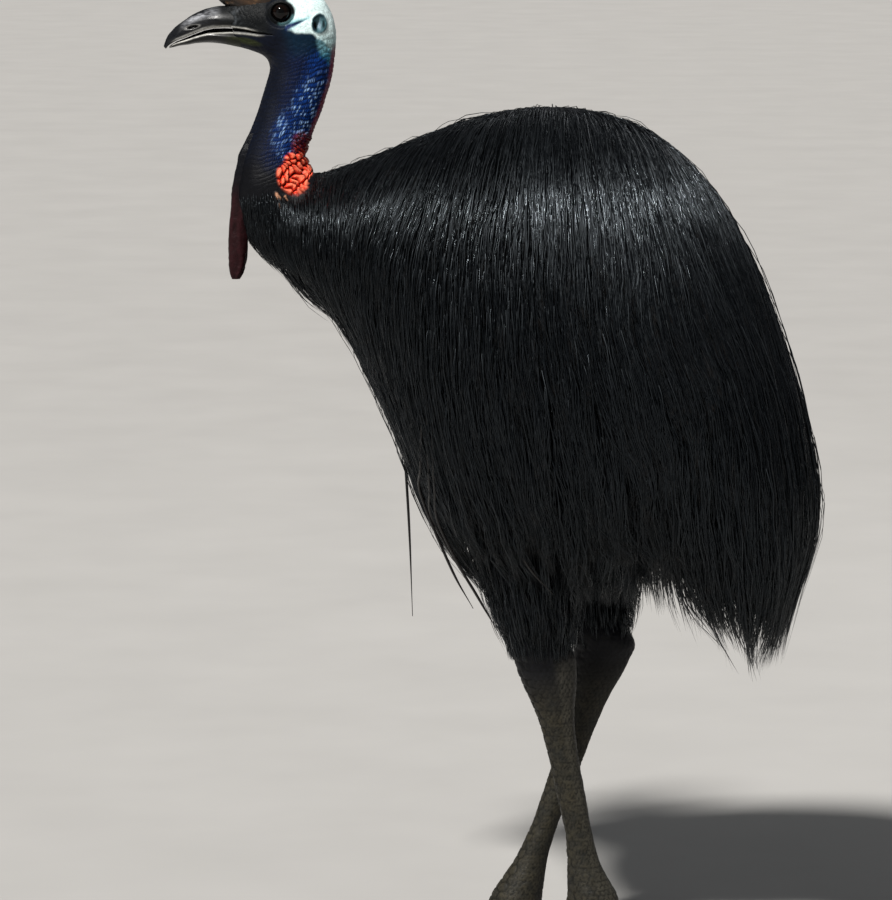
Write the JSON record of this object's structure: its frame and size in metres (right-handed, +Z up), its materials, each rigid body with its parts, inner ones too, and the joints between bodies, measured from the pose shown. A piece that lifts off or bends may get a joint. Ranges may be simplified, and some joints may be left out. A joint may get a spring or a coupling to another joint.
{
  "type": "southern cassowary",
  "caption": "Life-size standing figure of an adult southern cassowary in a walking pose: large black-plumed flightless bird with a horn casque, bare blue neck, two wattles and clawed feet.",
  "frame": {"origin": "middle of the bounding box, on the ground between the feet", "axes": "the bird faces -X, its left side faces -Y, +Z up"},
  "size_m": [0.8192, 0.4364, 1.328],
  "materials": {
    "plumage": "glossy black hair-like feathers over skin",
    "rump_plumes": "glossy black loose hanging plumes",
    "face_skin": "bare pale turquoise and blue-black skin",
    "neck_skin": "bare wrinkled cobalt blue skin",
    "caruncle_skin": "glossy folded orange-red skin",
    "wattle_skin": "dull maroon folded skin",
    "leg_scales": "grey-brown horny scales",
    "bill_horn": "glossy black horn with worn grey ridges",
    "casque_horn": "satin brown horn",
    "claw_horn": "satin dark horn",
    "eye": "wet dark brown"
  },
  "bodies": {
    "root": {"head": "face_skin", "neck_upper": "neck_skin", "neck_middle": "neck_skin", "neck_lower": "caruncle_skin", "trunk": "plumage", "tail": "rump_plumes", "bill_upper": "bill_horn", "bill_lower": "bill_horn", "casque": "casque_horn", "eye_left": "eye", "eye_right": "eye", "ear_left": "face_skin", "ear_right": "face_skin", "wattle_left": "wattle_skin", "wattle_right": "wattle_skin", "wing_left": "plumage", "wing_right": "plumage", "leg_left_drumstick": "plumage", "leg_right_drumstick": "plumage", "leg_left_shank": "leg_scales", "leg_right_shank": "leg_scales", "foot_left": "leg_scales", "foot_right": "leg_scales", "toe_left_inner": "leg_scales", "toe_left_middle": "leg_scales", "toe_left_outer": "leg_scales", "toe_right_inner": "leg_scales", "toe_right_middle": "leg_scales", "toe_right_outer": "leg_scales", "claw_left_inner": "claw_horn", "claw_left_middle": "claw_horn", "claw_left_outer": "claw_horn", "claw_right_inner": "claw_horn", "claw_right_middle": "claw_horn", "claw_right_outer": "claw_horn"}
  },
  "joints": []
}
